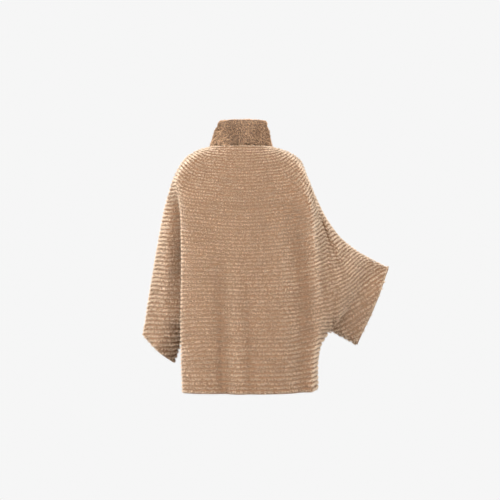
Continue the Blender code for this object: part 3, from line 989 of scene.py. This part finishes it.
SPREADS = {
    # how unevenly the fur grows, as standard deviations
    "along": 0.06,  # a tuft's place, in stitches
    "across": 0.07,  # and in half rows
    "lean": 0.0008,  # of a tuft along the row, in metres
    "row_tone": 0.02,
    "tuft_tone": 0.03,
    "height": 0.08,  # of a lock, as the rest
    "nap": 0.3,
    "width": 0.2,
    "tone": 0.06,
    "collar_lean": 0.3,
    "collar_lift": 7,
    "collar_length": 0.1,
    "collar_width": 0.2,
    "collar_tone": 0.15,
}
chance = np.random.default_rng(7)


def stray(name, size):
    """Random amounts with one of the spreads."""
    return chance.normal(0, SPREADS[name], size)


print("a tuft is", STITCH * 1000, "mm long and has", LOCKS, "locks")

# %% Stand locks on the rows


def between(grid, line, step):
    """Values of a grid of lines at places between its points."""
    i = np.clip(line.astype(int), 0, grid.shape[0] - 2)
    j = np.clip(step.astype(int), 0, grid.shape[1] - 2)
    down = (line - i)[:, None]
    on = (step - j)[:, None]
    upper = grid[i, j] * (1 - on) + grid[i, j + 1] * on
    lower = grid[i + 1, j] * (1 - on) + grid[i + 1, j + 1] * on
    return upper * (1 - down) + lower * down


def tufts(panel, part, first, last, shade=1.0):
    """The locks of the rows from first up to last on one stretch, as arguments for pile."""
    points, lengths = stretches[panel, part]
    along, down, out, heights = ways[panel, part]
    rows = np.arange(first, min(last, len(points) // 2))
    stitches = lengths[rows * 2 + 1] / STITCH
    counts = np.maximum(np.round(stitches), 1)
    if part in CUFFS:
        at_cuff = row_level(rows + 0.5) > CUFFS[part]["rows_upper"]
        counts = np.where(at_cuff, np.maximum(np.floor(stitches - CUFF_MARGIN), 0), counts)
    counts = counts.astype(int)
    row = np.repeat(rows, counts)
    number = np.concatenate([np.arange(count) for count in counts]) + 0.5 + stray("along", len(row))
    length = lengths[row * 2 + 1]
    start = (length - np.repeat(counts, counts) * STITCH) / 2 if part == "body" else 0
    share = np.clip((start + number * STITCH) / length, 0, 1)
    line = np.clip(row * 2 + ROW_MIDDLE + stray("across", len(row)), 0, len(points) - 1.001)
    step = share * ROW_STEPS
    centre = between(points, line, step)
    along_it, down_it, out_it = (unit(between(way, line, step)) for way in (along, down, out))
    hollow = between(hollows[panel, part][:, :, None], line, step)[:, 0]
    row_height = np.minimum(between(heights[:, :, None], line, step)[:, 0], TALLEST_ROW)
    lean = stray("lean", len(row))
    row_tone = (1 + stray("row_tone", len(rows)))[row - first]
    # painted shade in hollows and painted highlight on ridges, from how deep the cloth lies
    painted_fold_light_and_shade = np.clip(1 - HOLLOW_PAINTED_SHADE * (hollow - FLAT_DEPTH), *PAINTED_FOLD_LIMITS)
    tuft_tone = shade * row_tone * painted_fold_light_and_shade * (1 + stray("tuft_tone", len(row)))
    pick = np.repeat(np.arange(len(row)), LOCKS)
    size = len(pick)
    far = np.sqrt(chance.uniform(0, 1, size))
    turn = chance.uniform(0, 2 * np.pi, size)
    on_along = far * np.cos(turn) * DOME_ALONG * STITCH
    on_down = far * np.sin(turn) * DOME_DOWN * row_height[pick]
    height = DOME_HEIGHT * (1 - DOME_FALL * far**DOME_POWER) * (1 + stray("height", size))
    long_ones = chance.uniform(0, 1, size) < GUARD_HAIRS
    height = np.where(long_ones, height + GUARD_RISE, height)

    def place(along_by, down_by, out_by):
        return (
            centre[pick]
            + along_it[pick] * along_by[:, None]
            + down_it[pick] * down_by[:, None]
            + out_it[pick] * (out_by - ROOT_DEPTH)[:, None]
        )

    roots = place(on_along * ROOT_SPREAD, on_down * ROOT_SPREAD, np.zeros(size))
    sway = lean[pick] + chance.normal(0, 1, size) * np.where(long_ones, GUARD_SWAY, SWAY)
    drop = NAP * (1 + stray("nap", size)) * np.where(long_ones, GUARD_NAP, 1)
    tips = place(on_along + sway, on_down + drop, height)
    # painted shade: the locks at a tuft's edges are darker along the grooves and beside the next
    # stitch
    painted_edge_shade = (
        1
        - GROOVE_SHADE * (far * np.sin(turn)) ** GROOVE_POWER
        - PIT_SHADE * (far * np.cos(turn)) ** PIT_POWER
    )
    down_stretch = (row[pick] - first) / (last - first)
    cells = np.stack([share[pick] * (BAKE_CELLS - 1), down_stretch * BAKE_CELLS], axis=1)
    return {
        "roots": roots,
        "tips": tips,
        "outs": out_it[pick],
        "widths": LOCK_WIDTH * (1 + stray("width", size)) * np.where(long_ones, GUARD_WIDTH, 1),
        "thicknesses": np.full(size, LOCK_THICKNESS),
        "tones": tuft_tone[pick] * painted_edge_shade * (1 + stray("tone", size)),
        "cells": np.floor(cells),
    }


def together(*sets):
    """Joins several sets of locks into one."""
    return {key: np.concatenate([locks[key] for locks in sets]) for key in sets[0]}


# %% Make the pile
PILES = (
    # name, part, first row, last row
    ("yoke", "body", 0, 23),
    ("middle", "body", 23, 46),
    ("hem", "body", 46, 69),
    ("left_sleeve", "left", 0, 69),
    ("right_sleeve", "right", 0, 69),
)
for panel in PANELS:
    for place, part, first, last in PILES:
        name = f"{panel}_pile_{place}"
        # the left sleeve's locks get painted light, for its shaded inner side
        locks = tufts(panel, part, first, last, LEFT_PAINTED_LIGHT if part == "left" else 1.0)
        if part in CUFFS:
            # the cuff's edge row gets painted shade
            locks = together(locks, tufts(panel, part + "_cuff", 0, 1, CUFF_PAINTED_SHADE))
        pile(name, tan_fur, **locks)

# %% [markdown]
# ## The collar
# The roll collar is a tube of denser, darker fur, folded over itself. Its outline is spun round the
# neck, made a little less deep than wide, and leaned as the solid is.

# %% Spin the collar's ground
COLLAR_OUTLINE = np.array((
    # height, half width, in millimetres
    (0, 94), (10, 92), (22, 88.5), (36, 85.5), (50, 81.5),
    (60, 78), (67.6, 76.8), (73.7, 73.5), (77.1, 68.7), (77.1, 63.3),
    (73.7, 58.5), (67.6, 55.2), (60, 54), (50, 57.5), (36, 61.5),
    (22, 64.5), (10, 68), (0, 70),
)) / 1000
COLLAR_SIDES = 72
COLLAR_DEPTH = 0.86  # half-depth against half-width
COLLAR_CENTRE_Y = -0.005
COLLAR_LEAN = 0.004 / 0.06  # to +X, for each metre of height
SEAM_GAP = 0.0003
COLLAR_GROUND = 0.0040  # the ground lies this deep in the fur
COLLAR_EDGE = 0.006  # longer edges are cut in two

collar = bmesh.new()
outline = [collar.verts.new((width, 0, height)) for height, width in COLLAR_OUTLINE]
edges = [collar.edges.new(pair) for pair in zip(outline, outline[1:] + outline[:1])]
bmesh.ops.spin(collar, geom=outline + edges, cent=(0, 0, 0), axis=(0, 0, 1), angle=2 * math.pi,
               steps=COLLAR_SIDES, use_merge=True, use_duplicate=False)
bmesh.ops.remove_doubles(collar, verts=collar.verts, dist=MERGE)
bmesh.ops.scale(collar, vec=(1, COLLAR_DEPTH, 1), verts=collar.verts)
for vertex in collar.verts:
    vertex.co.x += COLLAR_LEAN * vertex.co.z
bmesh.ops.translate(collar, vec=(0, COLLAR_CENTRE_Y, NECK_HEIGHT + SEAM_GAP), verts=collar.verts)
long_edges = [edge for edge in collar.edges if edge.calc_length() > COLLAR_EDGE]
bmesh.ops.subdivide_edges(collar, edges=long_edges, cuts=1, use_grid_fill=True)
draw_in(collar, lambda vertex: COLLAR_GROUND)
knits["collar"] = add_mesh("collar_knit", collar, brown_net)
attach(knits["collar"], "root")
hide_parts("collar")
print("collar ground:", len(knits["collar"].data.polygons), "faces")

# %% [markdown]
# The collar's fur has no rows. It lies one way all round: up inside the roll, over its top and down
# outside, and it swirls a little from place to place.

# %% Stand locks on the collar
COLLAR_LOCKS = 17000  # tried, of which the narrow parts of the tube keep fewer
COLLAR_LOCK = 0.0105  # length of a lock
COLLAR_LOCK_WIDTH = 0.0013
COLLAR_LOCK_THICKNESS = 0.0006
COLLAR_ROOT_DEPTH = 0.0048
ROLL_FROM = 0.056  # height where the collar starts to roll over, and its hair lies closer
ROLL_HEIGHT = 0.014  # and how much higher it lies closest
LIFT = 26  # degrees between a lock and the surface
ROLLED_LIFT = 10  # the same on the roll
ROLLED_LENGTH = 0.65  # length of a lock on the roll, against the others
SWIRLS = (
    # strength, waves round the neck, waves along the outline, start
    (0.5, 3, 4, 0.0),
    (0.35, 5, -9, 1.3),
)
TONE_WAVES = (0.12, 2.6, 5)  # strength, waves with the swirl, waves round the neck
TURN_STEP = 0.01  # radians and metres between which a direction is measured
RUN_STEP = 0.002


def collar_places(count):
    """Random places on the collar's surface: points, and unit vectors round it, along and out."""
    heights, widths = COLLAR_OUTLINE.T
    run = np.append(0, np.cumsum(np.hypot(np.diff(heights), np.diff(widths))))
    at = chance.uniform(0, run[-1], count)
    turn = chance.uniform(0, 2 * np.pi, count)
    keep = chance.uniform(0, widths.max(), count) < np.interp(at, run, widths)
    at, turn = at[keep], turn[keep]

    def point(at, turn):
        width = np.interp(at, run, widths)
        height = np.interp(at, run, heights)
        x = width * np.sin(turn) + COLLAR_LEAN * height
        y = COLLAR_CENTRE_Y - width * COLLAR_DEPTH * np.cos(turn)
        return np.stack([x, y, height + NECK_HEIGHT + SEAM_GAP], axis=1)

    here = point(at, turn)
    round_it = unit(point(at, turn + TURN_STEP) - here)
    before, after = np.maximum(at - RUN_STEP, 0), np.minimum(at + RUN_STEP, run[-1])
    up = unit(point(after, turn) - point(before, turn))
    share = np.stack([turn / (2 * np.pi), at / run[-1]], axis=1)
    return here, round_it, -up, unit(np.cross(round_it, up)), share


def collar_locks():
    """The collar's locks, as arguments for pile."""
    here, round_it, nap, out, share = collar_places(COLLAR_LOCKS)
    size = len(here)
    turn, at = share[:, 0] * 2 * np.pi, share[:, 1]
    swirl = sum(
        strength * np.sin(round_waves * turn + along_waves * at + start)
        for strength, round_waves, along_waves, start in SWIRLS
    )
    lean = swirl + stray("collar_lean", size)
    rolled = ease((here[:, 2] - ROLL_FROM) / ROLL_HEIGHT)
    lift = np.radians(LIFT + (ROLLED_LIFT - LIFT) * rolled + stray("collar_lift", size))
    flat = nap * np.cos(lean)[:, None] + round_it * np.sin(lean)[:, None]
    ways = flat * np.cos(lift)[:, None] + out * np.sin(lift)[:, None]
    length = COLLAR_LOCK * (1 + (ROLLED_LENGTH - 1) * rolled) * (1 + stray("collar_length", size))
    roots = here - out * COLLAR_ROOT_DEPTH
    strength, swirl_waves, round_waves = TONE_WAVES
    patches = strength * np.sin(swirl_waves * swirl + round_waves * turn)
    return {
        "roots": roots,
        "tips": roots + ways * length[:, None],
        "outs": out,
        "widths": COLLAR_LOCK_WIDTH * (1 + stray("collar_width", size)),
        "thicknesses": np.full(size, COLLAR_LOCK_THICKNESS),
        "tones": 1 + patches + stray("collar_tone", size),
        "cells": np.floor(share * (BAKE_CELLS - 1)),
    }


pile("collar_pile", brown_fur, **collar_locks())

# %% [markdown]
# ## The knitted sheets
# The script prints how many knitted sheets it has made: back, front and collar.

print("sheets declared:", len(knits))

# %% Finish
visual_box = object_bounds()
grown = 1000 * (np.array(visual_box) - np.array(solid_box))
print("grown by", grown.round(1).tolist(), "mm")
